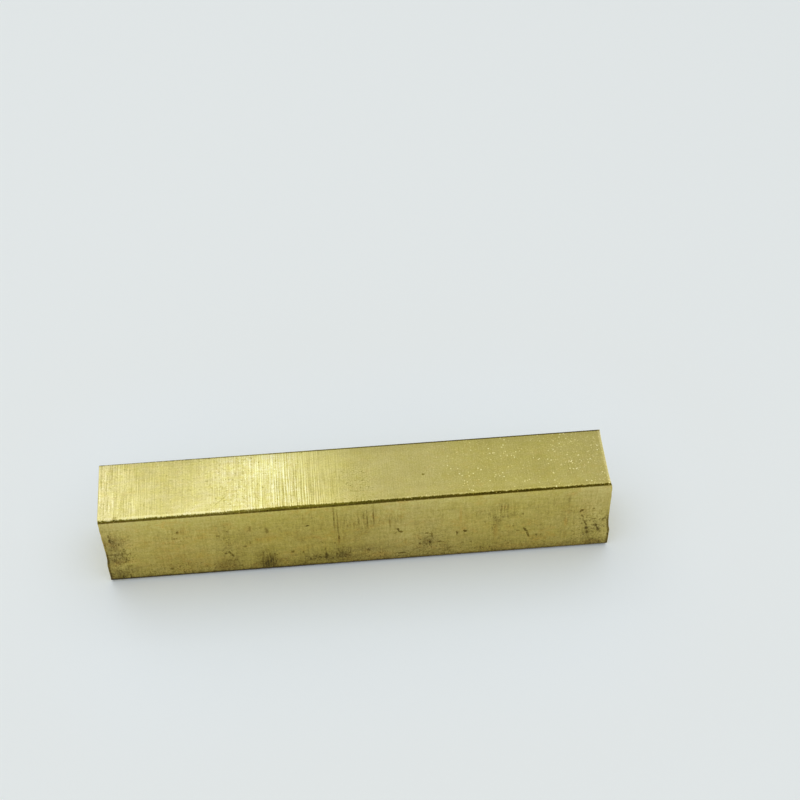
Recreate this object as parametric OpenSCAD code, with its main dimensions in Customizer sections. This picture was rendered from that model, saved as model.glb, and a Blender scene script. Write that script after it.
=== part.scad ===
// Flat bar of brass, sawn to length from drawn stock.
//
// It is one piece of metal: a rectangle with four rounded corners, drawn along X, and cut
// off at each end by a saw that ran a little out of square and wandered on its way down.
// The bar stands on one of its two narrow sides. X runs along its length, Y across its
// thickness and Z up its width. The origin is the middle of the side that it stands on.

/* [Bar] */
// Overall length along X, from the furthest point of one sawn end to that of the other
bar_length = 103; // [40:0.5:400]
// Thickness along Y, the narrow side of the section
bar_thickness = 15; // [8:0.5:40]
// Width, the wide side of the section, which stands up along Z
bar_width = 20; // [14:0.5:80]
// Radius of the four corners that run the length of the bar
corner_radius = 0.8; // [0.2:0.1:3]

/* [Sawn ends] */
// Angle in plan by which both cuts run out of square, so that their back lies towards -X
cut_skew = 0.5; // [0:0.1:3]
// Angle in elevation by which both cuts run out of square, so that their foot lies towards +X
cut_lean = 0.6; // [0:0.1:3]
// Depth of the hollow across each end, where the blade wandered into the bar
hollow_depth = 0.3; // [0.05:0.05:1]
// Height of the deepest line of that hollow above the side that the bar stands on
hollow_height = 8; // [4:0.5:12]
// Height over which the face comes back out below the hollow
hollow_return = 3; // [1:0.5:3.5]

/* [Hidden] */

// Number of steps that a full circle of the corner radius is drawn with
arc_steps = 96;
// Extra stock at each end, for the saw to take off
stock_spare = 8;
// How far the saw goes past the bar, above, below and to each side
cut_overrun = 4;

// A tilted cut reaches further along X at the corners of the section than at its middle.
// Each cut stands back by that reach, which keeps the furthest points bar_length apart.
skew_reach = bar_thickness / 2 * tan(cut_skew);
lean_reach = bar_width / 2 * tan(cut_lean);
cut_place = bar_length / 2 - skew_reach - lean_reach;

// The blade drifts into the bar by this share of the height that it has gone down
blade_drift = hollow_depth / (bar_width - hollow_height);

// Cross-section in its own plane: thickness along x and width along y, centred in x and
// standing on y = 0. Two rectangles make the flats and four discs the rounded corners.
module bar_section() {
    flat_thickness = bar_thickness - 2 * corner_radius;
    flat_width = bar_width - 2 * corner_radius;
    translate([-flat_thickness / 2, 0])
        square([flat_thickness, bar_width]);
    translate([-bar_thickness / 2, corner_radius])
        square([bar_thickness, flat_width]);
    for (side = [-1, 1], height = [corner_radius, bar_width - corner_radius])
        translate([side * flat_thickness / 2, height])
            circle(r = corner_radius, $fn = arc_steps);
}

// The drawn stock before it is cut, with spare length at both ends.
module drawn_stock() {
    stock_length = bar_length + 2 * stock_spare;
    translate([-stock_length / 2, 0, 0])
        rotate([90, 0, 90])
            linear_extrude(height = stock_length)
                bar_section();
}

// Outline of what one saw cut removes, seen from the front of the bar: x runs outwards
// from the nominal cut, and y upwards from the side that the bar stands on. From above the
// bar the blade drifts steadily inwards to the hollow, then comes back out and runs straight.
module cut_outline() {
    above = bar_width + cut_overrun;
    outside = 2 * stock_spare;
    polygon([
        [0, -cut_overrun],
        [0, hollow_height - hollow_return],
        [-hollow_depth, hollow_height],
        [blade_drift * cut_overrun, above],
        [outside, above],
        [outside, -cut_overrun],
    ]);
}

// Everything that the saw takes away beyond the +X end, with the nominal cut on x = 0.
module saw_cut() {
    depth = bar_thickness + 2 * cut_overrun;
    translate([0, depth / 2, 0])
        rotate([90, 0, 0])
            linear_extrude(height = depth)
                cut_outline();
}

// Puts a cut at one end of the bar: end is 1 at +X and -1 at -X, where it is mirrored.
// Both are tilted the same way about the middle of the section, as in one and the same vice.
module at_end(end) {
    translate([end * cut_place, 0, bar_width / 2])
        rotate([0, -cut_lean, cut_skew])
            translate([0, 0, -bar_width / 2])
                mirror([end < 0 ? 1 : 0, 0, 0])
                    children();
}

// The finished bar.
module flat_bar() {
    color("#c9b65c")
        difference() {
            drawn_stock();
            for (end = [-1, 1])
                at_end(end)
                    saw_cut();
        }
}

flat_bar();
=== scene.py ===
# %% [markdown]
# # A sawn length of flat brass bar
#
# This notebook dresses one plain piece of stock: a brass bar, 15 mm thick and 20 mm wide,
# sawn off to about 103 mm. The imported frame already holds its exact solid. What is added
# here is what the drawing bench, the saw and the years in a stock rack did to its skin.

# %% Load the frame
import math

import bpy
import numpy as np
from mathutils import Matrix, Vector


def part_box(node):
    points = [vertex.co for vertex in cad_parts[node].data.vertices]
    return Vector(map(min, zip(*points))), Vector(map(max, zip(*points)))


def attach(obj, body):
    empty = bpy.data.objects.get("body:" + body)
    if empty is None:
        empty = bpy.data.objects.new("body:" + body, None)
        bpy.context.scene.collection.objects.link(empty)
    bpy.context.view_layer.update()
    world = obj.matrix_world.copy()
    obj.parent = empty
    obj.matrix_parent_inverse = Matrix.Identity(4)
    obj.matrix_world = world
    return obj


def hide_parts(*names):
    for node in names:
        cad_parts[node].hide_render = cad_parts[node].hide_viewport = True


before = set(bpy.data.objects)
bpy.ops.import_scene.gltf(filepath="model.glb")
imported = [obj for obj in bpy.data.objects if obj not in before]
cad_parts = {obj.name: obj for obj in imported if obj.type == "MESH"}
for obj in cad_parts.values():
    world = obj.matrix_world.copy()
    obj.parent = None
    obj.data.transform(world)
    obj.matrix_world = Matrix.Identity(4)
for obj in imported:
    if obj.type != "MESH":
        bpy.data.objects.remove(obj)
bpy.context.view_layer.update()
low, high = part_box("flat_bar")

# %% [markdown]
# ## Sizes
#
# Blender works in metres, so one millimetre gets a name and every size is a number of them.
# Width, thickness and the two ends come from the frame's own box. The corner radius and the
# way the saw ran are the same values as in the solid.

# %% Name the sizes
MM = 0.001
THICKNESS = high.y - low.y
WIDTH = high.z - low.z
LENGTH = high.x - low.x
HALF = WIDTH / 2
CORNER_RADIUS = 0.8 * MM
CUT_SKEW = math.radians(0.5)
CUT_LEAN = math.radians(0.6)
HOLLOW_DEPTH = 0.3 * MM
HOLLOW_HEIGHT = 8 * MM
HOLLOW_RETURN = 3 * MM
CUT_PLACE = LENGTH / 2 - THICKNESS / 2 * math.tan(CUT_SKEW) - HALF * math.tan(CUT_LEAN)
print(f"bar {LENGTH / MM:.1f} x {THICKNESS / MM:.1f} x {WIDTH / MM:.1f} mm")

# %% [markdown]
# ## The camera
#
# A still-life camera looks down on the table with a long lens. It is placed by where it
# looks, how far round and how high it stands, and how far off it is. The slight roll is
# the tilt of a camera that is held by hand.

# %% Place the camera
AIM = (0.01205, 0.03704, 0.0)
AZIMUTH = math.radians(3.46)
ELEVATION = math.radians(48.07)
DISTANCE = 0.39676
ROLL = math.radians(-1.5)
LENS_MM = 79.45


def place_camera():
    """Stands the camera on a sphere round AIM: back from it by azimuth and elevation."""
    flat = math.cos(ELEVATION)
    back = np.array([-math.sin(AZIMUTH) * flat, -math.cos(AZIMUTH) * flat, math.sin(ELEVATION)])
    camera_data = bpy.data.cameras.new("camera")
    camera_data.lens = LENS_MM
    camera_data.clip_start = 0.01
    camera = bpy.data.objects.new("camera", camera_data)
    camera.location = np.array(AIM) + DISTANCE * back
    right = np.array([math.cos(AZIMUTH), -math.sin(AZIMUTH), 0.0])
    up = np.cross(back, right)
    turned_right = math.cos(ROLL) * right + math.sin(ROLL) * up
    turned_up = math.cos(ROLL) * up - math.sin(ROLL) * right
    matrix = np.stack([turned_right, turned_up, back], axis=1)
    camera.rotation_mode = "XYZ"
    camera.rotation_euler = Matrix(matrix.tolist()).to_euler()
    bpy.context.scene.collection.objects.link(camera)
    bpy.context.scene.camera = camera
    return camera


print("camera stands at", [round(v, 4) for v in place_camera().location])

# %% [markdown]
# ## The section
#
# A drawn bar has the same section all along, so its skin is a sheet with two parameters:
# how far along, and how far round. The section is worked out on a square grid whose four
# corner blocks are bent into quarter discs. The grid's border is the outline of the bar,
# and its inside is the face of a sawn end, so the skin and the two ends share their seams.

# %% Make the grid of the section
CORNER_STEPS = 4
STEPS_ACROSS = 6
STEPS_UP = 30
STATIONS = 930


def grid_lines(side, steps):
    """Grid lines over one side, from -side/2 to side/2: even ones on the flat, and
    CORNER_STEPS more within the radius at each end."""
    flat = side / 2 - CORNER_RADIUS
    corner = flat + CORNER_RADIUS * np.linspace(0, 1, CORNER_STEPS + 1)[1:]
    return np.concatenate([-corner[::-1], np.linspace(-flat, flat, steps + 1), corner])


def round_corners(across, up):
    """Bends each square corner block into a quarter disc. A point's larger reach into the
    block becomes its distance from the corner's centre, and the ratio of the two reaches
    becomes its angle, so the border of the block lands on the arc in even steps."""
    reach_across = np.maximum(np.abs(across) - (THICKNESS / 2 - CORNER_RADIUS), 0) / CORNER_RADIUS
    reach_up = np.maximum(np.abs(up) - (WIDTH / 2 - CORNER_RADIUS), 0) / CORNER_RADIUS
    reach = np.maximum(reach_across, reach_up)
    ratio = np.minimum(reach_across, reach_up) / np.maximum(reach, 1e-9)
    angle = np.where(reach_across > reach_up, ratio, 2 - ratio) * math.pi / 4
    in_block = (reach_across > 0) & (reach_up > 0)
    bent_across = (THICKNESS / 2 - CORNER_RADIUS + CORNER_RADIUS * reach * np.cos(angle)) * np.sign(across)
    bent_up = (WIDTH / 2 - CORNER_RADIUS + CORNER_RADIUS * reach * np.sin(angle)) * np.sign(up)
    return np.where(in_block, bent_across, across), np.where(in_block, bent_up, up)


grid_across, grid_up = np.meshgrid(grid_lines(THICKNESS, STEPS_ACROSS), grid_lines(WIDTH, STEPS_UP))
face_y, face_z = round_corners(grid_across, grid_up)
face_z = face_z + HALF
ROWS, COLUMNS = face_y.shape
print("section grid of", ROWS, "rows and", COLUMNS, "columns")

# %% Walk round its border
# Seen from the right end, the walk goes anticlockwise from the front of the foot: back
# along the foot, up the back, forward over the top and down the front. A cell whose corners
# are taken round the ring first and along the bar second then faces outwards.
border_row = np.concatenate(
    [
        np.zeros(COLUMNS - 1, int),
        np.arange(ROWS - 1),
        np.full(COLUMNS - 1, ROWS - 1),
        np.arange(ROWS - 1, 0, -1),
    ]
)
border_column = np.concatenate(
    [
        np.arange(COLUMNS - 1),
        np.full(ROWS - 1, COLUMNS - 1),
        np.arange(COLUMNS - 1, 0, -1),
        np.zeros(ROWS - 1, int),
    ]
)
ring_y = face_y[border_row, border_column]
ring_z = face_z[border_row, border_column]
AROUND = len(ring_y)

# The turn is 0 where the skin faces up or down, 1 where it faces sideways, and the share of
# the quarter turn in between round a corner.
past_y = np.maximum(np.abs(ring_y) - (THICKNESS / 2 - CORNER_RADIUS), 0)
past_z = np.maximum(np.abs(ring_z - HALF) - (WIDTH / 2 - CORNER_RADIUS), 0)
ring_turn = np.arctan2(past_y, past_z) / (math.pi / 2)
normal_y = np.sin(ring_turn * math.pi / 2) * np.sign(ring_y)
normal_z = np.cos(ring_turn * math.pi / 2) * np.sign(ring_z - HALF)
print("outline of", AROUND, "points")

# %% [markdown]
# ## Marks of the drawing bench
#
# The die chattered, and left fine ridges that run right round the bar, about half a
# millimetre apart. They could be painted on as a stripe pattern, but they also nick the
# bright long edges, so they are real height here. The height of each is also stored on the
# mesh as crest, and the finish paints the crests bright, partly as rubbed metal and partly
# as painted glints, and the furrows darker: shape and colour then always agree. No two
# ridges are alike, so their strengths are drawn from a seeded generator and joined up smoothly.

# %% Work out the ridges
RIDGE_PITCH = 0.47 * MM
RIDGE_DEPTH = 0.016 * MM
RIDGE_LEAN = 0.15 * MM
PHASE_DRIFT = 2.4
UNEVEN = 0.26
draw = np.random.default_rng(11)


def smooth_noise(at, step):
    """Numbers from -1 to 1, drawn at random every step and joined by half cosine waves."""
    count = int(np.ceil((at.max() - at.min()) / step)) + 3
    heights = draw.uniform(-1, 1, count)
    place = (at - at.min()) / step
    left = np.floor(place).astype(int)
    blend = 0.5 - 0.5 * np.cos(np.pi * (place - left))
    return heights[left] * (1 - blend) + heights[left + 1] * blend


ridge_places = np.linspace(-LENGTH, LENGTH, 16001)
ridge_drift = PHASE_DRIFT * smooth_noise(ridge_places, 1.0 * MM)
ridge_phase = 2 * np.pi * ridge_places / RIDGE_PITCH + ridge_drift
ridge_strength = 1 - UNEVEN + UNEVEN * smooth_noise(ridge_places, RIDGE_PITCH)
ridge_wave = (0.5 + 0.5 * np.cos(ridge_phase)) * ridge_strength


def crest_height(x, around):
    """0 in a furrow, up to 1 on a strong crest: a cosine along x whose phase wanders and
    whose strength is drawn anew for each ridge. Each ridge leans a little round the bar."""
    return np.interp(x + RIDGE_LEAN * np.sin(2 * np.pi * around), ridge_places, ridge_wave)


print("about", round(LENGTH / RIDGE_PITCH), "ridges")

# %% [markdown]
# ## The sawn ends
#
# The saw came down through the bar a little out of square, drifted into it, and came back
# near the foot. Each end is a height field over the section: the same drift as the solid,
# the shallow feed waves of the blade across the thickness, and the burr that it pushed out
# along the front edge. A height field needs no cutting tool, so the seams stay closed.

# %% Work out the sawn faces
FEED_PITCH = 2.7 * MM
FEED_DEPTH = 0.04 * MM
FEED_BOW = 0.25 * MM
FEED_SLANT = 0.06
BURR_AT = [0.0, 0.7, 3.0, 7.0, 12.0, 17.0, 20.0]
BURR = {
    -1: [0.02, 0.12, 0.11, 0.19, 0.16, 0.12, 0.02],
    1: [0.02, 0.34, 0.46, 0.53, 0.41, 0.44, 0.28],
}
BACK_LIP = {-1: 0.03 * MM, 1: 0.20 * MM}
LIP_REACH = 0.6 * MM
burr_places = np.linspace(0, WIDTH, 400)
burr_ragged = {end: 1 + 0.12 * smooth_noise(burr_places, 1.3 * MM) for end in (-1, 1)}


def hollow(z):
    """How far the blade is inside the nominal cut at height z: a straight drift down to
    the deepest line, a straight way back, and nothing below."""
    drift = (WIDTH - z) / (WIDTH - HOLLOW_HEIGHT)
    way_back = (z - HOLLOW_HEIGHT + HOLLOW_RETURN) / HOLLOW_RETURN
    return HOLLOW_DEPTH * np.clip(np.minimum(drift, way_back), 0, 1)


def feed_waves(end, y, z):
    """Depth of the waves: a cosine down the face, bowed where the blade flexed."""
    bowed = z + FEED_BOW * (2 * y / THICKNESS) ** 2 + FEED_SLANT * y
    return FEED_DEPTH * (0.5 - 0.5 * np.cos(2 * np.pi * bowed / FEED_PITCH + end))


def burr(end, y, z):
    """Height of the lip that the blade pushed out. Both lips die away from their edge as a
    power of e. The front one is ragged, and BURR gives its height at each place up the
    edge, in millimetres; the back one is low and even."""
    front = MM * np.interp(z / MM, BURR_AT, BURR[end]) * np.interp(z, burr_places, burr_ragged[end])
    from_front, from_back = THICKNESS / 2 + y, THICKNESS / 2 - y
    return front * np.exp(-from_front / LIP_REACH) + BACK_LIP[end] * np.exp(-from_back / LIP_REACH)


def end_x(end, y, z):
    """Where a sawn face lies along X: a tilted plane, less the drift and the waves, plus
    the burr."""
    tilt = -y * math.tan(CUT_SKEW) - (z - HALF) * math.tan(CUT_LEAN)
    return end * (CUT_PLACE - hollow(z) - feed_waves(end, y, z) + burr(end, y, z)) + tilt


print("the cuts drift", round(HOLLOW_DEPTH / MM, 2), "mm inwards,", round(HOLLOW_HEIGHT / MM), "mm up")

# %% Work out points and faces
def grid_quads(index):
    """Corner indices of every cell of a 2-D array of vertex indices: along the row first,
    then on to the next row."""
    corners = [index[:-1, :-1], index[:-1, 1:], index[1:, 1:], index[1:, :-1]]
    return np.stack(corners, -1).reshape(-1, 4)


share_along = np.linspace(0, 1, STATIONS)[:, None]
skin_x = end_x(-1, ring_y, ring_z) * (1 - share_along) + end_x(1, ring_y, ring_z) * share_along
skin_crest = crest_height(skin_x, np.arange(AROUND) / AROUND)
skin_inset = np.minimum(skin_x - skin_x[0], skin_x[-1] - skin_x) / MM


def bar_points():
    """Skin: rings between the two sawn faces, each point set back along the section's
    normal by how far its ridge falls short of a full crest. Ends: the inside points of the
    section's grid, on each sawn face."""
    sink = -RIDGE_DEPTH * (1 - skin_crest)
    skin = np.stack([skin_x, ring_y + normal_y * sink, ring_z + normal_z * sink], -1).reshape(-1, 3)
    y, z = face_y[1:-1, 1:-1].ravel(), face_z[1:-1, 1:-1].ravel()
    ends = [np.stack([end_x(end, y, z), y, z], -1) for end in (-1, 1)]
    return np.concatenate([skin, *ends])


INSIDE = (ROWS - 2) * (COLUMNS - 2)
SKIN = STATIONS * AROUND


def end_index(first_ring, first_inside):
    """Vertex indices over one end's grid: its border from a ring, its inside its own."""
    index = np.zeros((ROWS, COLUMNS), int)
    index[border_row, border_column] = first_ring + np.arange(AROUND)
    index[1:-1, 1:-1] = first_inside + np.arange(INSIDE).reshape(ROWS - 2, COLUMNS - 2)
    return index


def bar_faces():
    """Quads of the skin, closed round the ring, and of both ends, all facing outwards."""
    rings = np.arange(SKIN).reshape(STATIONS, AROUND)
    rings = np.concatenate([rings, rings[:, :1]], axis=1)
    left = end_index(0, SKIN)
    right = end_index(SKIN - AROUND, SKIN + INSIDE)
    return np.concatenate([grid_quads(rings), grid_quads(left)[:, ::-1], grid_quads(right)])


points, quads = bar_points(), bar_faces()
print(len(points), "points and", len(quads), "faces")

# %% Build the mesh
SHARP_ANGLE = math.radians(50)


def new_mesh(name, points, quads):
    """Puts arrays of points and quads into a mesh without a loop over either."""
    mesh = bpy.data.meshes.new(name)
    mesh.vertices.add(len(points))
    mesh.vertices.foreach_set("co", points.astype(np.float32).ravel())
    mesh.loops.add(quads.size)
    mesh.loops.foreach_set("vertex_index", quads.astype(np.int32).ravel())
    mesh.polygons.add(len(quads))
    mesh.polygons.foreach_set("loop_start", np.arange(0, quads.size, 4, dtype=np.int32))
    mesh.polygons.foreach_set("use_smooth", np.ones(len(quads), bool))
    mesh.update(calc_edges=True)
    mesh.validate()
    return mesh


def paint(mesh, name, values):
    """Stores one number for each point, for the finish to read."""
    layer = mesh.attributes.new(name, "FLOAT", "POINT")
    layer.data.foreach_set("value", values.astype(np.float32))


def make_bar():
    """The bar's mesh with its four painted numbers. It rides the root body and stands for
    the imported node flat_bar."""
    mesh = new_mesh("flat_bar_dressed", points, quads)
    on_ends = np.ones(2 * INSIDE)
    on_skin = np.zeros((STATIONS, AROUND))
    on_skin[[0, -1]] = 1
    paint(mesh, "turn", np.concatenate([np.tile(ring_turn, STATIONS), 0.5 * on_ends]))
    paint(mesh, "crest", np.concatenate([skin_crest.ravel(), 0.5 * on_ends]))
    paint(mesh, "sawn", np.concatenate([on_skin.ravel(), on_ends]))
    paint(mesh, "inset", np.concatenate([skin_inset.ravel(), 0 * on_ends]))
    mesh.set_sharp_from_angle(angle=SHARP_ANGLE)
    bar = bpy.data.objects.new("flat_bar_dressed", mesh)
    bpy.context.scene.collection.objects.link(bar)
    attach(bar, "root")
    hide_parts("flat_bar")
    return bar


def enclosed_volume(points, quads):
    """A triangle and the origin span a sixth of the triple product of its corners. Over a
    closed skin these volumes add up to what it holds, and a face that points inwards would
    take away from the sum."""
    first, second, third, fourth = (points[quads[:, corner]] for corner in range(4))
    halves = ((first, second, third), (first, third, fourth))
    return sum(np.einsum("ij,ij->i", a, np.cross(b, c)).sum() for a, b, c in halves) / 6


bar = make_bar()
print(2 * len(quads), "triangles around", round(enclosed_volume(points, quads) / MM**3), "cubic mm")

# %% [markdown]
# ## Shader maths as expressions
#
# The finish is a long sum of patterns, and node by node it would fill pages and hide the
# sums. With two small wrappers a pattern is written as a formula: an output socket that
# can be added and multiplied, and a tree that makes every other node by one method.

# %% Wrap sockets and trees
class Wire:
    """An output socket of a shader node. Sums and products of wires add Math nodes."""

    def __init__(self, recipe, node, socket):
        self.recipe, self.node, self.socket = recipe, node, socket

    def out(self, name):
        """Another output of the same node."""
        return Wire(self.recipe, self.node, self.node.outputs[name])

    def math(self, operation, *others):
        """A Math node on this wire and the others."""
        values = dict(zip(("Value", "Value_001", "Value_002"), (self, *others)))
        return self.recipe.add("ShaderNodeMath", {"operation": operation}, values)

    def __add__(self, other):
        return self.math("ADD", other)

    def __radd__(self, other):
        return self.math("ADD", other)

    def __mul__(self, other):
        return self.math("MULTIPLY", other)

    def __rmul__(self, other):
        return self.math("MULTIPLY", other)

    def __sub__(self, other):
        return self.math("SUBTRACT", other)

    def __rsub__(self, other):
        values = {"Value": other, "Value_001": self}
        return self.recipe.add("ShaderNodeMath", {"operation": "SUBTRACT"}, values)

    def __pow__(self, other):
        return self.math("POWER", other)

    def read(self, low, high, stops):
        """A number read off at this value, from (value, number) stops joined by lines. The
        ramp keeps the numbers in its alpha, which is a plain number and not a colour."""
        ramp = [((at - low) / (high - low), (number,) * 4) for at, number in stops]
        share = (self - low) * (1 / (high - low))
        return self.recipe.add("ShaderNodeValToRGB", {"stops": ramp}, {"Fac": share}).out("Alpha")

    def step(self, start, end):
        """0 up to start, 1 from end on, and a smooth rise between. It falls if end < start."""
        rising = end > start
        values = {"Value": self, "From Min": min(start, end), "From Max": max(start, end)}
        values.update({"To Min": 0.0 if rising else 1.0, "To Max": 1.0 if rising else 0.0})
        return self.recipe.add("ShaderNodeMapRange", {"interpolation_type": "SMOOTHSTEP"}, values)


class Recipe:
    """A node tree that is filled one node at a time."""

    def __init__(self, tree):
        self.tree = tree
        tree.nodes.clear()

    def add(self, kind, settings=None, values=None):
        """Adds a node: its settings first, then the values or links of its sockets, which
        are named by identifier. Returns its first output as a Wire."""
        node = self.tree.nodes.new(kind)
        for name, setting in (settings or {}).items():
            if name == "stops":
                self.set_stops(node.color_ramp, setting)
            else:
                setattr(node, name, setting)
        for key, value in (values or {}).items():
            socket = next(s for s in node.inputs if s.identifier == key)
            if isinstance(value, Wire):
                self.tree.links.new(value.socket, socket)
            else:
                socket.default_value = value
        outputs = [s for s in node.outputs if s.enabled]
        return Wire(self, node, outputs[0] if outputs else None)

    def set_stops(self, ramp, stops):
        """Leaves one stop of a new ramp and adds the rest, from (position, colour)."""
        while len(ramp.elements) > 1:
            ramp.elements.remove(ramp.elements[-1])
        for number, (position, color) in enumerate(stops):
            element = ramp.elements[0] if number == 0 else ramp.elements.new(position)
            element.position = position
            element.color = (*color, 1.0) if len(color) == 3 else color

    def mix(self, factor, first, second, blend="MIX"):
        """Mixes two colours: all of the first at factor 0, all of the second at 1."""
        settings = {"data_type": "RGBA", "blend_type": blend}
        values = {"Factor_Float": factor, "A_Color": first, "B_Color": second}
        return self.add("ShaderNodeMix", settings, values)


# %% [markdown]
# ## Where things are on the bar
#
# Every pattern is placed in millimetres from the middle of the bar's foot. Four numbers
# come from the mesh itself: turn is 0 on the narrow sides, 1 on the wide sides and in
# between round a corner; crest is the height of the ridges; sawn is 1 on the ends; inset
# is the way in from the nearer end.

# %% Read the place
class Place:
    """What a finish asks about a point of the bar, as wires, in millimetres."""

    def __init__(self, recipe):
        r = recipe
        self.recipe = r
        self.metres = r.add("ShaderNodeTexCoord").out("Object")
        values = {"Vector": self.metres, "Scale": 1 / MM}
        point = r.add("ShaderNodeVectorMath", {"operation": "SCALE"}, values)
        parts = r.add("ShaderNodeSeparateXYZ", {}, {"Vector": point})
        self.along, self.across, self.up = parts.out("X"), parts.out("Y"), parts.out("Z")
        self.turn, self.crest, self.sawn, self.inset = (
            r.add("ShaderNodeAttribute", {"attribute_name": name}).out("Fac")
            for name in ("turn", "crest", "sawn", "inset")
        )
        self.wide = self.turn.step(0.55, 0.95)
        self.front = self.wide * self.across.step(1.0, -1.0)
        self.top = (1 - self.wide) * self.up.step(9.0, 11.0)

    def stretched(self, per_mm, offset):
        """The point with per_mm = (along, across, up) pattern units in each millimetre. Each
        layer has its own offset, which moves it to a part of the pattern that no other uses."""
        scale = tuple(units / MM for units in per_mm)
        values = {"Vector": self.metres, "Scale": scale, "Location": (offset,) * 3}
        return self.recipe.add("ShaderNodeMapping", {}, values)

    def noise(self, per_mm, offset, detail=2.0, rough=0.5):
        """Noise around 0, mostly within a quarter to either side."""
        values = {"Vector": self.stretched(per_mm, offset), "Scale": 1.0}
        values.update({"Detail": detail, "Roughness": rough})
        return self.recipe.add("ShaderNodeTexNoise", {}, values) - 0.5

    def cells(self, per_mm, offset):
        """Distance to the nearest of many scattered points, in pattern units."""
        values = {"Vector": self.stretched(per_mm, offset), "Scale": 1.0}
        return self.recipe.add("ShaderNodeTexVoronoi", {}, values).out("Distance")

    def warp(self, per_mm, amount, offset):
        """A sideways push of up to about amount millimetres, from the colours of a noise."""
        values = {"Vector": self.stretched((per_mm,) * 3, offset), "Scale": 1.0, "Detail": 2.0}
        colour = self.recipe.add("ShaderNodeTexNoise", {}, values).out("Color")
        values = {"Vector": colour, "Vector_001": (4 * amount,) * 3, "Vector_002": (-2 * amount,) * 3}
        return self.recipe.add("ShaderNodeVectorMath", {"operation": "MULTIPLY_ADD"}, values)

    def read_along(self, *stops):
        """A number along the bar, from (place along in millimetres, number) stops."""
        return self.along.read(-LENGTH / MM / 2, LENGTH / MM / 2, stops)


# %% [markdown]
# ## Marks placed one by one
#
# Handling and storage left marks that no noise would put in the right place. Each is an
# ellipse: the place of its middle along the bar and up the front (or across the top), its
# half sizes, the lean of its upper end to the left in degrees, and its strength. The plane
# is bent by noise before the ellipses are drawn, so that none has a smooth rim.
#
# Grime is broad and grainy: crumbs of black dirt that stuck where the bar lay in a damp
# rack. Smudges are softer, greyer and smaller.

# %% List the broad stains
GRIME = [
    ((-5.0, 1.8), (50.0, 1.9), 0, 0.80),
    ((-48.4, 8.5), (3.2, 8.0), 0, 0.90),
    ((-38.0, 12.5), (2.6, 2.4), 0, 0.45),
    ((-25.5, 14.5), (3.5, 2.0), 0, 0.45),
    ((-36.0, 3.2), (7.0, 2.2), 0, 0.60),
    ((-26.3, 7.5), (2.3, 5.0), 0, 0.70),
    ((-18.3, 4.0), (2.6, 3.0), 0, 0.60),
    ((-5.5, 3.3), (7.5, 2.4), 0, 0.68),
    ((14.5, 5.3), (3.8, 4.0), 0, 0.75),
    ((29.5, 9.5), (3.0, 5.0), 0, 0.60),
    ((48.4, 6.3), (4.0, 6.8), 0, 1.00),
]
SMUDGES = [
    ((-49.0, 11.8), (1.8, 2.6), 0, 0.60),
    ((-49.2, 12.4), (1.0, 1.8), 0, 0.80),
    ((-49.8, 13.4), (0.3, 1.4), 0, 0.80),
    ((-49.3, 8.7), (1.9, 0.34), 0, 0.90),
    ((-50.0, 8.8), (0.8, 0.45), 0, 1.00),
    ((-49.5, 7.0), (1.6, 1.5), 0, 0.75),
    ((-49.2, 2.3), (1.7, 1.3), 0, 0.66),
    ((-46.5, 3.6), (1.8, 1.3), 0, 0.30),
    ((-26.4, 3.2), (2.4, 1.6), 0, 0.55),
    ((-18.6, 2.6), (1.9, 2.2), 0, 0.50),
    ((-19.6, 5.9), (0.5, 1.0), 0, 0.40),
    ((-8.5, 3.2), (2.0, 0.26), 0, 0.60),
    ((-2.2, 4.8), (2.4, 1.3), 0, 0.35),
    ((-5.0, 2.6), (6.0, 1.0), 0, 0.42),
    ((-2.9, 3.3), (1.0, 1.0), 0, 0.85),
    ((3.5, 5.0), (3.6, 1.5), 0, 0.30),
    ((14.2, 5.6), (1.5, 1.3), 0, 0.50),
    ((28.4, 9.8), (0.8, 2.6), 0, 0.40),
    ((30.0, 12.1), (2.4, 0.4), 0, 0.35),
    ((47.2, 5.2), (0.8, 1.8), 0, 0.55),
    ((49.4, 6.2), (0.9, 1.6), 0, 0.50),
    ((45.0, 1.9), (4.0, 1.0), 0, 0.28),
    ((49.0, 1.7), (2.4, 1.0), 0, 0.75),
]
print(len(GRIME), "patches of grime and", len(SMUDGES), "smudges")

# %% [markdown]
# Pits are the small black knocks where the skin was broken and the brass went dark: most
# are less than half a millimetre across, and a few are short gouges that lean.

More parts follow.
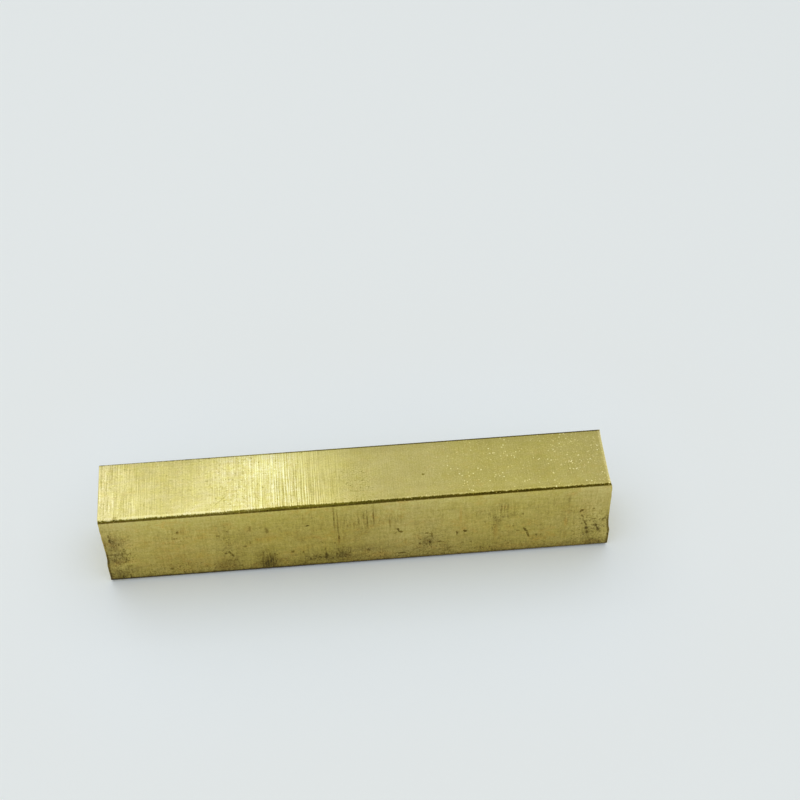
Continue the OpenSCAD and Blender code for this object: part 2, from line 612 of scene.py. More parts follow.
# %% List the pits
PITS = [
    ((-49.9, 15.0), (0.14, 0.45), 0, 0.80),
    ((-49.9, 13.5), (0.14, 0.50), 0, 0.90),
    ((-48.2, 12.0), (0.16, 0.35), 0, 0.55),
    ((-47.9, 8.9), (0.14, 0.80), 0, 0.60),
    ((-47.3, 9.4), (0.12, 0.70), 0, 0.55),
    ((-47.2, 7.3), (0.14, 0.70), 0, 0.70),
    ((-46.2, 8.9), (0.13, 0.50), 0, 0.55),
    ((-48.9, 6.4), (0.12, 0.50), 0, 0.60),
    ((-48.6, 1.5), (0.16, 0.60), 0, 0.80),
    ((-47.0, 1.4), (0.20, 0.60), 0, 0.70),
    ((-23.0, 8.5), (0.40, 0.26), 0, 0.55),
    ((-21.9, 9.6), (0.14, 0.50), 0, 0.60),
    ((-16.9, 5.2), (0.55, 0.16), -30, 0.75),
    ((-7.2, 7.8), (0.20, 0.26), 0, 0.50),
    ((-4.7, 7.4), (0.16, 0.30), 0, 0.50),
    ((-4.4, 3.7), (0.22, 0.34), 0, 0.75),
    ((-1.7, 3.9), (0.22, 0.30), 0, 0.60),
    ((-3.8, 2.6), (0.60, 0.18), 0, 0.60),
    ((-9.9, 2.8), (0.22, 0.36), 0, 0.65),
    ((26.1, 10.8), (0.22, 0.30), 0, 0.40),
    ((31.9, 8.8), (0.24, 0.34), 0, 0.50),
    ((-36.1, 14.7), (0.26, 0.30), 0, 0.85),
    ((-37.0, 12.6), (0.50, 0.22), 0, 0.60),
    ((-28.1, 12.5), (0.36, 0.34), 0, 0.75),
    ((-27.1, 6.7), (0.28, 0.30), 20, 0.80),
    ((-26.2, 6.8), (0.22, 0.50), 30, 0.85),
    ((-25.7, 5.9), (0.22, 0.45), 20, 0.95),
    ((-38.4, 2.9), (0.35, 0.45), 0, 0.60),
    ((-36.8, 3.3), (0.20, 0.45), 0, 0.65),
    ((-10.0, 13.8), (0.42, 0.26), 0, 1.00),
    ((-13.4, 5.6), (0.34, 0.38), 0, 0.90),
    ((-11.3, 5.2), (0.22, 0.25), 0, 0.65),
    ((-6.6, 3.5), (0.35, 0.80), 0, 0.75),
    ((-3.8, 9.3), (0.17, 0.50), 0, 0.80),
    ((2.1, 4.3), (0.30, 0.40), 0, 0.60),
    ((9.0, 2.5), (0.80, 0.22), 0, 0.75),
    ((8.3, 10.3), (0.22, 0.62), 20, 1.00),
    ((8.9, 9.6), (0.45, 0.26), -30, 1.00),
    ((7.7, 9.2), (0.30, 0.30), 0, 0.45),
    ((14.2, 8.5), (0.34, 0.26), 0, 0.85),
    ((15.2, 7.7), (0.15, 1.00), 0, 0.90),
    ((14.8, 5.4), (0.22, 0.50), 0, 0.75),
    ((12.7, 5.1), (0.22, 0.30), 0, 0.75),
    ((16.8, 5.3), (0.45, 0.26), 0, 0.70),
    ((20.3, 7.8), (0.18, 0.72), 0, 0.95),
    ((22.0, 8.3), (0.32, 0.42), 30, 1.00),
    ((23.2, 4.5), (0.30, 0.25), 0, 0.60),
    ((21.5, 4.5), (0.40, 0.22), 0, 0.50),
    ((33.8, 12.5), (0.20, 0.42), 0, 1.00),
    ((32.9, 7.1), (0.32, 0.28), 0, 0.50),
    ((34.4, 7.2), (0.26, 0.85), 30, 1.00),
    ((35.0, 5.8), (0.23, 1.05), 10, 1.00),
    ((36.8, 5.3), (0.22, 0.42), 0, 0.90),
    ((37.7, 5.2), (0.20, 0.26), 0, 0.60),
    ((43.7, 12.4), (0.25, 0.22), 0, 0.60),
    ((45.8, 12.1), (0.30, 0.48), -30, 1.00),
    ((46.1, 10.3), (0.18, 0.70), 20, 0.75),
    ((46.7, 8.2), (0.22, 1.20), 20, 1.00),
    ((47.1, 6.2), (0.35, 0.50), 0, 0.95),
    ((47.3, 4.9), (0.30, 0.50), 0, 0.95),
    ((48.3, 12.4), (0.20, 0.22), 0, 0.80),
    ((48.5, 9.1), (0.50, 0.24), 0, 0.90),
    ((49.0, 7.0), (0.34, 0.40), 0, 0.90),
    ((49.5, 5.7), (0.26, 0.70), 20, 0.85),
    ((50.4, 8.8), (0.24, 0.50), -30, 0.85),
    ((50.8, 9.2), (0.24, 0.26), 0, 0.85),
]
print(len(PITS), "pits")

# %% [markdown]
# Dirt also settled in the furrows of the ridges. Where single dark strokes stand out they
# are listed as streaks; a hatched patch only says where the fine upright streaks of the
# skin are at their strongest.

# %% List the strokes
STREAKS = [
    ((-4.6, 16.0), (0.18, 3.6), 0, 0.95),
    ((-3.9, 14.2), (0.16, 3.8), 0, 1.00),
    ((-3.9, 8.5), (0.14, 2.2), 0, 0.50),
    ((-19.7, 2.8), (0.15, 1.9), 0, 0.95),
    ((-19.2, 2.4), (0.15, 1.8), 0, 0.90),
    ((-18.6, 2.2), (0.17, 1.4), 0, 0.95),
    ((-18.1, 3.1), (0.17, 2.0), 0, 1.00),
    ((-17.6, 2.6), (0.15, 1.7), 0, 0.90),
    ((-17.1, 2.2), (0.12, 1.1), 0, 0.70),
    ((-6.6, 5.0), (0.14, 3.4), 0, 0.60),
    ((-2.6, 14.2), (0.16, 1.3), 0, 0.60),
    ((0.4, 14.0), (0.16, 1.2), 0, 0.70),
    ((1.4, 15.2), (0.16, 1.6), 0, 0.80),
    ((2.1, 15.0), (0.16, 2.4), 0, 0.85),
    ((3.4, 14.8), (0.18, 2.2), 0, 0.90),
    ((6.7, 13.0), (0.20, 2.6), 0, 0.50),
    ((8.9, 13.8), (0.20, 1.2), 0, 0.40),
    ((29.3, 14.6), (0.16, 1.6), 0, 0.60),
    ((30.0, 15.0), (0.12, 2.2), 0, 0.50),
    ((30.6, 14.2), (0.12, 2.6), 0, 0.50),
    ((31.3, 13.6), (0.10, 2.0), 0, 0.40),
    ((32.1, 13.6), (0.14, 2.2), 0, 0.55),
    ((43.2, 15.8), (0.26, 1.8), 0, 0.70),
    ((-21.6, 14.2), (0.24, 0.8), 0, 0.95),
    ((-18.2, 13.2), (0.40, 0.9), 0, 0.75),
]
HATCHED = [
    ((-48.8, 9.0), (2.8, 9.0), 0, 0.45),
    ((-35.5, 13.5), (4.4, 2.8), 0, 0.60),
    ((-26.8, 12.0), (1.8, 4.0), 0, 0.50),
    ((-18.5, 4.4), (1.6, 3.0), 0, 0.90),
    ((-8.5, 15.5), (2.4, 2.4), 0, 0.40),
    ((-3.2, 4.2), (1.8, 1.8), 0, 0.60),
    ((0.8, 14.2), (3.4, 2.6), 0, 0.88),
    ((7.8, 14.6), (1.6, 2.0), 0, 0.80),
    ((16.0, 14.2), (1.6, 2.8), 0, 0.50),
    ((29.0, 13.4), (3.6, 2.6), 0, 0.85),
    ((39.0, 15.0), (2.2, 2.6), 0, 0.40),
    ((46.8, 8.0), (4.6, 8.0), 0, 0.35),
]
print(len(STREAKS), "streaks and", len(HATCHED), "hatched patches")

# %% [markdown]
# Rust-coloured spots are brass that reddened under a drop of water. The top was handled
# more and stored less, so it has only a few marks of its own.

# %% List the red spots and the marks of the top
RUST = [
    ((-26.0, 16.2), (1.1, 0.5), 0, 0.60),
    ((-22.0, 14.0), (0.8, 1.2), 0, 0.50),
    ((-35.2, 2.1), (2.4, 0.7), 0, 0.60),
    ((-27.5, 2.0), (2.2, 0.8), 0, 0.60),
    ((4.5, 2.5), (2.4, 0.9), 0, 0.80),
    ((-3.9, 8.6), (0.4, 1.8), 0, 0.80),
    ((21.1, 13.0), (0.3, 2.8), 0, 0.90),
    ((22.3, 12.8), (1.3, 1.6), 0, 0.30),
    ((42.7, 8.8), (0.35, 1.4), 0, 1.00),
    ((28.3, 7.6), (0.5, 2.2), 0, 0.80),
    ((31.5, 2.0), (5.5, 0.7), 0, 0.60),
    ((48.5, 1.6), (2.0, 0.6), 0, 0.60),
]
TOP_MARKS = [
    ((-27.0, -4.45), (0.10, 2.20), -45, 0.55),
    ((14.0, -1.4), (0.26, 0.18), 0, 1.00),
    ((-47.9, -7.1), (0.45, 0.50), 0, 0.90),
    ((-21.9, 5.9), (0.35, 0.25), 0, 0.60),
    ((-20.7, 6.1), (0.28, 0.28), 0, 0.60),
    ((-22.4, 2.4), (0.30, 0.45), 0, 0.50),
    ((-20.1, -3.1), (0.20, 0.45), 0, 0.50),
    ((-19.4, -0.7), (0.20, 0.28), 0, 0.50),
    ((-10.3, 6.6), (0.30, 0.20), 0, 0.60),
]
print(len(RUST), "red spots and", len(TOP_MARKS), "marks on the top")

# %% [markdown]
# An ellipse is drawn in the shader as a distance from its middle: the plane is moved and
# stretched until the ellipse is the unit circle, and the length of what is left is below 1
# inside it. That takes one Vector Math node to place a mark and one to measure it, and no
# picture has to be painted or stored.

# %% Draw marks as ellipses
def leaned(x, y, lean):
    """(x, y) after a turn to the right by the lean, which sets a leaning mark upright."""
    angle = math.radians(lean)
    return x * math.cos(angle) + y * math.sin(angle), y * math.cos(angle) - x * math.sin(angle)


def marked(first, second, marks, soft, warp):
    """Strength of the marks in the plane of two wires. The plane is turned once for each
    lean; then each mark is an upright ellipse, stretched to the unit circle, that fades
    from 1 - soft to 1 + soft. Where marks overlap, the strongest wins."""
    r = first.recipe
    flat = r.add("ShaderNodeCombineXYZ", {}, {"X": first, "Y": second})
    turned = {0: r.add("ShaderNodeVectorMath", {"operation": "ADD"}, {"Vector": flat, "Vector_001": warp})}
    for lean in sorted({mark[2] for mark in marks} - {0}):
        values = {"Vector": turned[0], "Angle": -math.radians(lean)}
        turned[lean] = r.add("ShaderNodeVectorRotate", {"rotation_type": "Z_AXIS"}, values)
    strongest = None
    for middle, (half_width, half_height), lean, strength in marks:
        x, y = leaned(*middle, lean)
        values = {
            "Vector": turned[lean],
            "Vector_001": (1 / half_width, 1 / half_height, 0.0),
            "Vector_002": (-x / half_width, -y / half_height, 0.0),
        }
        unit = r.add("ShaderNodeVectorMath", {"operation": "MULTIPLY_ADD"}, values)
        distance = r.add("ShaderNodeVectorMath", {"operation": "LENGTH"}, {"Vector": unit}).out("Value")
        mark = distance.step(1.0 + soft, 1.0 - soft) * strength
        strongest = mark if strongest is None else strongest.math("MAXIMUM", mark)
    return strongest


# %% [markdown]
# ## The brass finish
#
# One number, tone, says how clean the metal is at a point and how much painted light or
# shade it carries: 0 is a black pit, a half is old brass and 1 is a painted glint on a rubbed
# crest. Every layer of wear, dirt, painted highlight and painted shade only adds to or takes
# from tone, and a colour ramp turns it into metal at the end. That is easier to balance than
# a stack of colour mixes, and all layers stay in one family of colours.
#
# The narrow sides come first. The left half of the top was rubbed bright, in two spells, and
# a painted highlight lifts it further; the crests of its ridges carry painted glints as thin
# lines. The right half is dull, and its skin has painted sparkles of tiny facets. How strong
# each layer is along the bar is read from a short list of places and numbers, joined by
# straight lines.

# %% Tone of the narrow sides
NARROW_TONES = [
    (0.00, (0.040, 0.030, 0.003)),
    (0.25, (0.210, 0.172, 0.022)),
    (0.50, (0.500, 0.428, 0.145)),
    (0.75, (0.800, 0.705, 0.335)),
    (1.00, (0.990, 0.940, 0.640)),
]


def crest_lines(p):
    """Bright lines of painted glints on the ridges' crests and darker lines in their furrows,
    with fine hair lines and more painted glints between them. They fade in and out along each
    ridge, and are strongest in the two rubbed spells."""
    everywhere = p.read_along(
        (-51.5, 0.72), (-44, 0.46), (-39, 0.19), (-31, 0.22), (-26, 0.42), (-18, 0.80),
        (-13, 0.74), (-9, 0.52), (-5, 0.24), (-2, 0.12), (8, 0.06), (51.5, 0.06),
    )
    near = p.read_along((-19, 0.0), (-15, 0.4), (-10, 0.6), (-6, 0.34), (-3, 0.12), (0, 0.0))
    fade = p.noise((1.5, 0.24, 0.24), 21.0, detail=3.0, rough=0.7)
    hair = p.noise((3.5, 0.16, 0.16), 22.0, detail=1.0, rough=0.6).math("MAXIMUM", -0.12)
    glint = p.noise((2.8, 0.5, 0.5), 20.0, detail=2.0, rough=0.8).step(0.08, 0.28)
    strength = (everywhere + near * p.across.step(5.0, -3.0)) * p.turn.step(0.45, 0.15)
    strength = strength * (fade * 2.2 + 0.78).math("MAXIMUM", 0.10)
    return ((p.crest**2 - 0.28) * 0.36 + hair * 1.15 + glint * 0.14 + fade * 0.08) * strength


def painted_sparkles(p):
    """Painted glints of bright facets on the right half, in loose clusters, and finer painted
    glitter among them.
    """
    clusters = p.noise((0.22, 0.30, 0.30), 28.0).step(-0.16, 0.08)
    dull = p.read_along((-6, 0.20), (10, 0.12), (17, 0.08), (21, 0.0), (30, 0.0), (36, 0.04), (41, 0.0))
    sparkle = (p.cells((1.25, 1.25, 1.25), 25.0) + dull).step(0.25, 0.10) * clusters
    glitter = p.cells((2.1, 2.1, 2.1), 29.0).step(0.26, 0.10)
    glitter_strength = p.read_along((-6, 0.0), (16, 0.10), (38, 0.10), (45, 0.22))
    return sparkle * p.along.step(-6.0, 16.0) * 0.40 + glitter * glitter_strength


def rubbed_and_lit_side(p):
    """Tone of the narrow sides: old brass, rubbed bright on the left half of the top and lifted
    there by a painted highlight, with the ridges' lines, grain, specks and scuffs, and painted
    sparkles."""
    # Rubbed metal on the left half of the top, with a painted highlight in the same numbers.
    rubbed_and_highlight = p.read_along(
        (-51.5, 0.45), (-45, 0.375), (-39, 0.30), (-33, 0.37), (-26, 0.56), (-19, 0.70),
        (-12, 0.58), (-6, 0.34), (0, 0.15), (8, 0.07), (30, 0.01), (51.5, 0.0),
    ) * p.top
    specks = p.read_along(
        (-51.5, 0.8), (-43, 0.4), (-31, 0.5), (-26, 1.0), (-17, 0.9), (-8, 0.4), (0, 0.1)
    )
    scuffs = p.noise((0.4, 2.2, 2.2), 30.0, rough=0.7) * specks
    grainy = p.read_along((-5, 0.0), (-2, 1.0), (2, 1.0), (5, 0.0)) * p.across.step(4.0, 0.0)
    lines = crest_lines(p)
    patches = p.noise((0.20, 0.30, 0.30), 23.0, detail=3.0, rough=0.6)
    grain = p.noise((3.0, 3.0, 3.0), 24.0, detail=3.0, rough=0.85)
    olive = p.noise((1.5, 1.5, 1.5), 26.0, detail=2.0, rough=0.8).step(0.06, 0.24)
    flecks = p.cells((1.6, 1.6, 1.6), 27.0).step(0.26, 0.12)
    tilt = p.read_along(
        (-51.5, 0.4), (-41, 0.15), (-31, 0.0), (-26, 0.4), (-20, 1.0), (-12, 1.0), (-7, 0.4)
    ) - 0.4
    tone = 0.485 + rubbed_and_highlight * 0.48 + tilt * p.across * 0.012 * p.top
    tone = tone + lines + patches * 0.14 + grain * (specks * 0.30 + grainy * 0.30 + 0.34)
    tone = tone + scuffs * 0.28 + flecks * specks * 0.22 - olive * (specks * 0.34 + grainy * 0.20)
    return tone + painted_sparkles(p)


# %% [markdown]
# The wide sides lay against other stock. They are darker and browner, and painted shade
# makes them darker towards the foot, where the side reflects the floor's shadow beside the
# bar, and a little lighter near the top: a short list of heights and numbers gives the level.
# Clouds, mottle and grain are three sizes of the same blotchy tarnish. Fine streaks run
# both ways, along the bar from the drawing and upright from the ridges.

# %% Tone of the wide sides
WIDE_TONES = [
    (0.00, (0.066, 0.043, 0.007)),
    (0.25, (0.228, 0.168, 0.034)),
    (0.50, (0.555, 0.452, 0.132)),
    (0.75, (0.790, 0.690, 0.275)),
    (1.00, (0.980, 0.920, 0.560)),
]


def stored_side(p, hatched):
    """Tone of the wide sides: mottled, streaked both ways, with painted shade that darkens it
    towards the foot. The upright streaks are strongest where hatched is 1."""
    # The level holds painted shade: darkest at the foot, lighter towards the top.
    level_and_shade = p.up.read(0.0, 20.0, [
        (0.0, 0.16), (0.6, 0.25), (1.0, 0.36), (2.2, 0.418), (4.0, 0.442), (6.0, 0.462), (8.0, 0.474),
        (12.0, 0.476), (14.0, 0.486), (16.0, 0.502), (18.0, 0.53), (19.0, 0.565), (20.0, 0.565),
    ])
    drift = p.read_along(
        (-51.5, 0.08), (-46, 0.15), (-35, 0.13), (-20, 0.09), (-3, 0.075), (12, 0.13), (20, 0.13),
        (30, 0.10), (42, 0.10), (49, 0.15),
    )
    clouds = p.noise((0.12, 0.20, 0.20), 31.0, detail=2.0)
    mottle = p.noise((0.45, 0.8, 0.8), 32.0, detail=3.0, rough=0.70)
    streaks = p.noise((2.8, 0.35, 0.32), 33.0, detail=3.0, rough=0.8)
    streaky = p.noise((0.16, 0.3, 0.14), 36.0).step(-0.12, 0.15) * (1 - p.front) + hatched
    drawn = p.noise((0.22, 1.6, 1.5), 34.0, detail=2.0, rough=0.7)
    grain = p.noise((3.0, 3.0, 3.0), 35.0, detail=3.0, rough=0.85)
    upper = p.up.step(6.0, 14.0)
    tone = level_and_shade + (drift - 0.1) * (upper * 0.7 + 0.3) + clouds * 0.13 + mottle * 0.145
    tone = tone + grain * (0.50 + p.up.step(5.0, 2.0) * 0.20)
    return tone + streaks * (streaky * 0.44 + 0.26) - hatched * 0.02 + drawn * 0.18


# %% [markdown]
# The sawn ends are younger than the skin, so they are cleaner and more golden. What they
# show is the work of the saw: lines across the thickness, bowed where the blade flexed.

# %% Tone of the sawn ends
END_TONES = [
    (0.00, (0.060, 0.042, 0.010)),
    (0.35, (0.420, 0.320, 0.090)),
    (0.60, (0.700, 0.575, 0.210)),
    (0.80, (0.860, 0.740, 0.330)),
    (1.00, (0.980, 0.900, 0.520)),
]
COMB_PITCH = 0.9


def sawn_end(p):
    """Tone of the sawn ends: cleaner metal than the skin. The teeth left fine lines across
    the thickness, bowed like the feed waves, and the finest are hardly wider than a hair.
    Dirt only gathered in small spots."""
    bow_per_mm2 = FEED_BOW / MM * (2 * MM / THICKNESS) ** 2
    bowed = p.up + p.across * p.across * bow_per_mm2 + p.across * FEED_SLANT
    along_line = p.recipe.add("ShaderNodeCombineXYZ", {}, {"X": bowed, "Y": p.across * 0.02, "Z": p.along})
    values = {"Vector": along_line, "Scale": 5.5, "Detail": 3.0, "Roughness": 0.75}
    teeth = p.recipe.add("ShaderNodeTexNoise", {}, values) - 0.5
    comb = (bowed * (2 * math.pi / COMB_PITCH)).math("SINE")
    comb = comb * p.noise((0.0, 0.1, 0.2), 52.0).step(-0.2, 0.2)
    spots = p.cells((0.6, 0.6, 0.6), 53.0).step(0.14, 0.05)
    spots = spots * p.noise((0.2, 0.3, 0.3), 54.0).step(0.0, 0.2)
    scores = p.noise((0.0, 0.04, 1.6), 55.0, detail=2.0, rough=0.7).step(0.14, 0.30)
    return 0.59 + teeth * 0.70 + comb * 0.045 + scores * 0.16 - spots * 0.30


# %% [markdown]
# The listed marks belong to the front and the top. The back and the foot aged in their own
# way: loose specks and pooled stains lie wherever a noise puts them. Crumbs of dirt come
# from a second noise, the grit, which breaks each broad mark up; strokes and smudges are
# broken up by smears that run a little along the bar.

# %% Spread the dirt
class Dirt:
    """Every kind of mark as a wire, 0 where the metal is clean and up to 1 in the mark."""

    def __init__(self, p):
        fine_warp = p.warp(2.4, 0.16, 43.0)
        broad_warp = p.warp(0.7, 0.40, 42.0)
        grit = p.noise((2.6, 2.6, 2.6), 48.0, detail=2.0, rough=0.7)
        smear = p.noise((2.8, 1.3, 0.9), 41.0, detail=4.0, rough=0.85).step(-0.14, 0.12)
        self.grime = marked(p.along, p.up, GRIME, 0.6, broad_warp) * grit.step(0.05, 0.17)
        smudges = marked(p.along, p.up, SMUDGES, 0.85, broad_warp)
        smudges = smudges * (smear * 0.75 + 0.25).math("MAXIMUM", smudges**4 * 0.85)
        pits = marked(p.along, p.up, PITS, 0.45, fine_warp)
        self.pits = pits * (grit.step(0.16, -0.12) * 0.5 + 0.5)
        streaks = marked(p.along, p.up, STREAKS, 0.60, p.warp(0.4, 0.10, 44.0))
        self.streaks = streaks * (smear * 0.5 + 0.5)
        self.hatched = marked(p.along, p.up, HATCHED, 0.70, broad_warp) * p.front
        self.rust = marked(p.along, p.up, RUST, 0.80, fine_warp) * p.front
        specks = p.cells((0.45, 0.55, 0.55), 61.0).step(0.16, 0.06)
        specks = specks * p.noise((0.1, 0.2, 0.2), 62.0).step(-0.1, 0.1)
        pooled = p.noise((0.16, 0.30, 0.30), 63.0, detail=3.0).step(0.05, 0.20)
        pooled = pooled * grit.step(-0.06, 0.16)
        self.aged = (specks * 0.30 + pooled * 0.24) * (1 - p.front) * (1 - p.top)
        on_top = marked(p.along, p.across, TOP_MARKS, 0.45, p.warp(2.4, 0.10, 49.0))
        self.on_top = on_top * p.top
        self.smudges = smudges * p.front


# %% [markdown]
# A long corner is rounded, and its light is painted in a pattern of its own. A dark line of
# painted shade, standing for the dark reflection that a rounded metal edge shows, starts
# where the rounding turns away from the narrow side, nicked by the ridges; next to it runs a
# painted highlight, and small bright ticks are painted glints. Where the line starts and
# stops is a place round the corner, and it moves along the bar.

# %% Paint light and shade on the long corners
def painted_corner_light(p):
    """What a corner's painted highlight, painted glints and painted shade add to tone, and its
    dark line of painted shade alone. Bend grows with the turn round the corner, and goes on
    growing over the wide side. The line lies between two places in it: one number says how
    far past the first a point is, and ends minus bend how far it is short of the second."""
    nicks = p.noise((2.6, 0.9, 0.9), 45.0, detail=2.0, rough=0.7)
    past_corner = (HALF - CORNER_RADIUS) / MM - (p.up - HALF / MM).math("ABSOLUTE")
    bend = p.turn + past_corner.math("MAXIMUM", 0.0) * 0.8
    comb = p.read_along((-24, 0.10), (-16, 0.05), (-5, 0.04))
    band_place = bend - (p.crest - 0.35) * comb
    band_place = band_place - nicks * p.read_along((-40, 0.75), (-26, 0.45), (-6, 0.38), (20, 0.45))
    band_place = band_place - p.read_along(
        (-51.5, 0.45), (-40, 0.42), (-27, 0.31), (-14, 0.11), (-2, 0.22), (51.5, 0.24)
    )
    band_place = band_place + p.across.step(0.0, 3.0) * 0.28
    ends = 0.3 + p.read_along(
        (-51.5, 0.86), (-40, 0.85), (-27, 0.83), (-12, 0.80), (10, 0.70), (51.5, 0.52)
    )
    # The dark line is painted shade.
    painted_edge_shade = band_place.step(0.0, 0.18) * (ends - bend).step(0.0, 0.24) * p.turn.step(0.0, 0.1)
    # Beside it, a painted highlight.
    painted_highlight = p.turn.step(0.02, 0.12) * band_place.step(0.05, -0.08)
    painted_highlight = painted_highlight * p.read_along((-51.5, 0.05), (-43, 0.14), (-22, 0.12), (-10, 0.05), (51.5, 0.03))
    # Small painted glints on the corner.
    glint_ticks = p.cells((1.5, 1.5, 1.5), 46.0).step(0.26, 0.12)
    glint_ticks = glint_ticks * p.turn.step(0.0, 0.2) * p.turn.step(1.0, 0.8)
    depth = p.read_along((-24, 0.44), (-14, 0.49), (-2, 0.40))
    return painted_highlight - painted_edge_shade * depth + glint_ticks * 0.22, painted_edge_shade


# %% [markdown]
# Now the layers are summed up, once for the narrow sides and once for the wide ones. The
# rims beside the sawn ends get a painted highlight on the narrow sides and a dark edge on
# the wide ones, and the lowest millimetre of the foot gets a painted shadow. The
# rims beside the sawn ends and the lowest millimetre of the foot wear in their own way too.

# %% Add up the layers
def narrow_tone(p, dirt, corner, foot_shadow, rim):
    """Rubbed metal with its painted highlight and glints, its marks, a painted shadow along the
    foot, a painted highlight on the rim at the right end, and painted shade along the front
    of the right half."""
    tone = rubbed_and_lit_side(p) + corner - foot_shadow - dirt.on_top * 0.28 - dirt.aged
    # A painted highlight on the rim at the right end.
    tone = tone + rim * p.along.step(0.0, 10.0) * 0.12
    # Painted shade along the front edge of the top's right half.
    return tone - p.along.step(-8.0, 2.0) * p.across.step(-5.4, -6.8) * 0.035


def wide_tone(p, dirt, corner, foot_shadow, rim):
    """Stored metal with its painted shade, its marks, a painted shadow along the foot, and a
    dark rim low down. Close to the right end the metal is a little brighter towards the foot
    and darker above."""
    tone = stored_side(p, dirt.hatched) + corner - foot_shadow - rim * p.up.step(12.0, 8.0) * 0.30
    tone = tone - p.along.step(36.0, 45.0) * (p.up - 10.5) * 0.007 - dirt.aged
    marks = (dirt.pits * 0.32 + dirt.streaks * 0.22 + dirt.grime * 0.29) * p.front
    return tone - (dirt.smudges * 0.26 + marks)


# %% [markdown]
# Two tints come on top of the ramps' colours. Brass tarnishes unevenly between gold and
# green, and it browns and reddens where it lay damp. A tint multiplies the colour, so the
# pattern of light and dark stays as it is.

# %% Tint the tarnish
GREENER = (0.99, 1.0, 0.72, 1.0)
REDDER = (1.03, 0.88, 0.76, 1.0)


def greenness(p):
    """How far the colour goes to GREENER: noise, strongest on the rubbed half of the top,
    round a level that is read along the bar. The top has a little less of it, and so have
    the wide sides high up near both ends."""
    golden = p.read_along(
        (-51.5, 1.0), (-42, 0.3), (-30, 0.4), (-24, 0.8), (-16, 0.6), (-8, 0.0)
    ) * p.top
    green = p.noise((0.35, 0.6, 0.6), 37.0, detail=3.0, rough=0.75) * (golden * 2.2 + 1.6)
    green = green + p.read_along(
        (-51.5, 0.25), (-44, 0.55), (-30, 0.55), (-18, 0.80), (-4, 0.75), (6, 0.20), (15, 0.20),
        (24, 0.60), (40, 0.58), (50, 0.20),
    )
    at_ends = p.along.math("ABSOLUTE").step(41.0, 48.0)
    return green - at_ends * (p.up - 8.0) * 0.03 * p.wide - p.top * 0.10


def redness(p, rust, painted_edge_shade):
    """How far the colour goes to REDDER: spots where the bar lay damp, a brown veil on the
    wide sides below their upper edge, the listed red spots, and the right half of the
    corners' dark line of painted shade."""
    spots = p.noise((0.5, 0.7, 0.7), 47.0, detail=4.0, rough=0.85).step(-0.05, 0.22)
    damp = p.noise((0.11, 0.22, 0.22), 66.0).step(-0.10, 0.12) * 0.75 + 0.25
    brown = p.up.step(18.0, 11.0) * p.wide * (p.along.step(12.0, -6.0) * 0.17 + 0.10)
    red = (damp * (spots * (p.wide * 0.6 + 0.4) + brown)).math("MAXIMUM", rust)
    return red.math("MAXIMUM", painted_edge_shade * p.along.step(4.0, 20.0) * 0.55)


# %% [markdown]
# Last, tone becomes metal. Each kind of surface has its own ramp, smudges get a dull brown
# of their own, and the tints follow. Clean metal is smoother and dirt is rougher. The finest
# relief, too small for the mesh, is a shallow bump made of the same numbers.

# %% Turn tone into metal
SMUDGE_COLOUR = (0.155, 0.118, 0.056, 1.0)
BUMP_DEPTH = 0.04 * MM


def brass_finish():
    """The bar's one material: polished metal whose colour, roughness and bump all follow
    the same tones."""
    material = bpy.data.materials.new("drawn_brass")
    material.use_nodes = True
    r = Recipe(material.node_tree)
    p = Place(r)
    dirt = Dirt(p)
    corner, painted_edge_shade = painted_corner_light(p)
    rim = p.inset.step(0.65, 0.25)
    # A painted shadow along the lowest millimetre of the foot.
    foot_shadow = p.up.step(1.5, 0.5) * p.turn.step(0.1, 0.5) * 0.14
    narrow = narrow_tone(p, dirt, corner, foot_shadow, rim)
    wide = wide_tone(p, dirt, corner, foot_shadow, rim)

    narrow_colour = r.add("ShaderNodeValToRGB", {"stops": NARROW_TONES}, {"Fac": narrow})
    wide_colour = r.add("ShaderNodeValToRGB", {"stops": WIDE_TONES}, {"Fac": wide})
    end = sawn_end(p)
    end_colour = r.add("ShaderNodeValToRGB", {"stops": END_TONES}, {"Fac": end})
    wide_colour = r.mix(dirt.smudges * 0.35, wide_colour, SMUDGE_COLOUR)
    colour = r.mix(p.wide, narrow_colour, wide_colour)
    colour = r.mix(p.sawn.step(0.4, 1.0), colour, end_colour)
    colour = r.mix(greenness(p), colour, GREENER, blend="MULTIPLY")
    colour = r.mix(redness(p, dirt.rust, painted_edge_shade), colour, REDDER, blend="MULTIPLY")

    rough = 0.36 - (narrow - 0.5) * (1 - p.wide) * 0.25 + (dirt.smudges + dirt.pits * p.front) * 0.2
    rough = rough - (end - 0.4) * p.sawn * 0.35
    height = p.crest * 0.2 + narrow * 0.3 + end * p.sawn * 2.5
    values = {"Strength": 0.3, "Distance": BUMP_DEPTH, "Height": height}
    bump = r.add("ShaderNodeBump", {}, values)
    values = {"Base Color": colour, "Metallic": 1.0, "Roughness": rough, "Normal": bump}
    shader = r.add("ShaderNodeBsdfPrincipled", {}, values)
    r.add("ShaderNodeOutputMaterial", {}, {"Surface": shader})
    print("brass finish of", len(material.node_tree.nodes), "nodes")
    return material


bar.data.materials.append(brass_finish())

# %% [markdown]
# ## Floor and light
#
# Metal is mostly a mirror of its surroundings, so what stands round it is part of its
# finish. A pale floor, an even grey room and one large overhead softbox are enough. A
# smaller lamp behind and to the left lifts the left half of the top. Brass throws yellow
# light on whatever lies beside it; the floor's paint is a touch bluer there, which takes the
# yellow out again and keeps the floor grey right up to the bar.

# %% Lay the floor
FLOOR_COLOUR = (0.870, 0.885, 0.890, 1.0)
NEAR_COLOUR = (0.885, 0.925, 0.975, 1.0)
NEAR_REACH = 55 * MM
FAINT_END = 20 * MM
FLOOR_REACH = 3.0


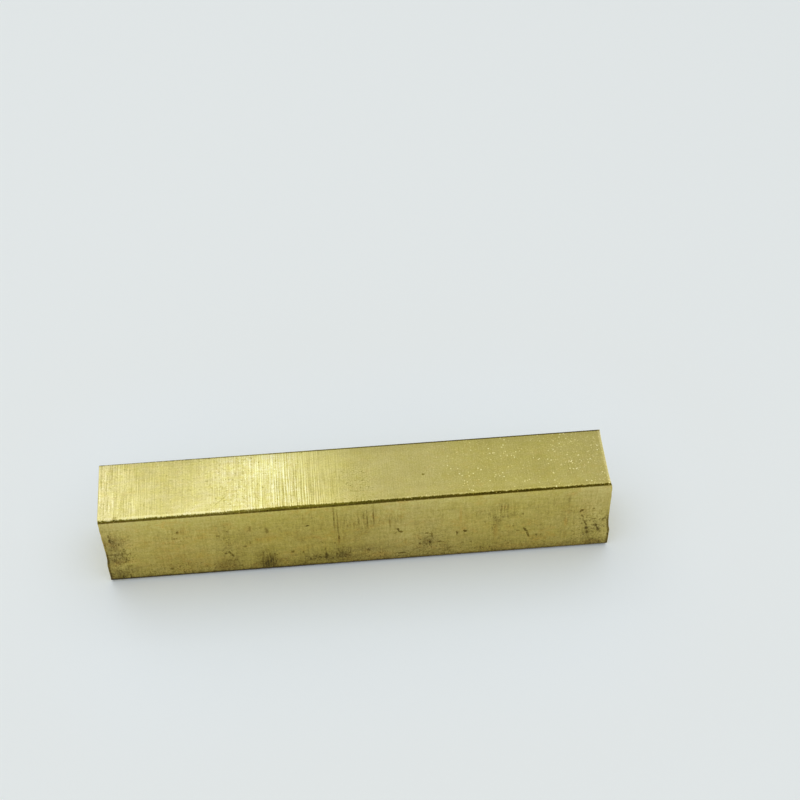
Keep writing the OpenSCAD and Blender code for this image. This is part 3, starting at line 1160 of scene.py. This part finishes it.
def floor_colour(r):
    """The floor's colour: NEAR_COLOUR beside the bar, fading out at NEAR_REACH. The
    distance is measured from the bar's foot, less FAINT_END at each end, where there is
    hardly any brass to throw light."""
    place = r.add("ShaderNodeTexCoord").out("Object")
    beyond = place
    for operation, size in (
        ("ABSOLUTE", (0, 0, 0)),
        ("SUBTRACT", (LENGTH / 2 - FAINT_END, THICKNESS / 2, 0)),
        ("MAXIMUM", (0, 0, 0)),
    ):
        values = {"Vector": beyond, "Vector_001": size}
        beyond = r.add("ShaderNodeVectorMath", {"operation": operation}, values)
    distance = r.add("ShaderNodeVectorMath", {"operation": "LENGTH"}, {"Vector": beyond}).out("Value")
    return r.mix(distance.step(NEAR_REACH, 0.0), FLOOR_COLOUR, NEAR_COLOUR)


def make_floor():
    """One large square, with its own paint."""
    corners = FLOOR_REACH * np.array([[-1, -1, 0], [1, -1, 0], [1, 1, 0], [-1, 1, 0]])
    floor = bpy.data.objects.new("floor", new_mesh("floor", corners, np.array([[0, 1, 2, 3]])))
    bpy.context.scene.collection.objects.link(floor)
    material = bpy.data.materials.new("floor_paint")
    material.use_nodes = True
    r = Recipe(material.node_tree)
    shader = r.add("ShaderNodeBsdfPrincipled", {}, {"Base Color": floor_colour(r), "Roughness": 0.6})
    r.add("ShaderNodeOutputMaterial", {}, {"Surface": shader})
    floor.data.materials.append(material)
    return floor


print("floor of", 2 * FLOOR_REACH, "m:", make_floor().name)

# %% Hang the lamps
LIGHT_COLOUR = (0.965, 1.0, 1.0)


def make_lamp(name, place, size, radiance, aim):
    """A flat lamp that faces aim. Its power is its brightness times its area and pi."""
    light = bpy.data.lights.new(name, "AREA")
    light.shape = "RECTANGLE"
    light.size, light.size_y = size
    light.color = LIGHT_COLOUR
    light.energy = radiance * math.pi * size[0] * size[1]
    lamp = bpy.data.objects.new(name, light)
    lamp.location = place
    lamp.rotation_euler = (Vector(aim) - Vector(place)).to_track_quat("-Z", "Y").to_euler()
    bpy.context.scene.collection.objects.link(lamp)
    return lamp


for lamp in (
    make_lamp("softbox", (0.0, -0.05, 0.8), (1.4, 1.5), 0.50, aim=(0.0, -0.05, 0.0)),
    make_lamp("window", (-0.38, 0.75, 0.70), (0.5, 0.6), 0.45, aim=(0.0, 0.0, 0.0)),
):
    print(lamp.name, "lamp of", round(lamp.data.energy, 3), "W")

# %% Light the room
ROOM_STRENGTH = 0.62
world = bpy.data.worlds.new("studio")
world.use_nodes = True
bpy.context.scene.world = world
room = Recipe(world.node_tree)
values = {"Color": (*LIGHT_COLOUR, 1.0), "Strength": ROOM_STRENGTH}
background = room.add("ShaderNodeBackground", {}, values)
room.add("ShaderNodeOutputWorld", {}, {"Surface": background})
bpy.context.scene.view_settings.view_transform = "Standard"
print("room at", ROOM_STRENGTH, "of white")
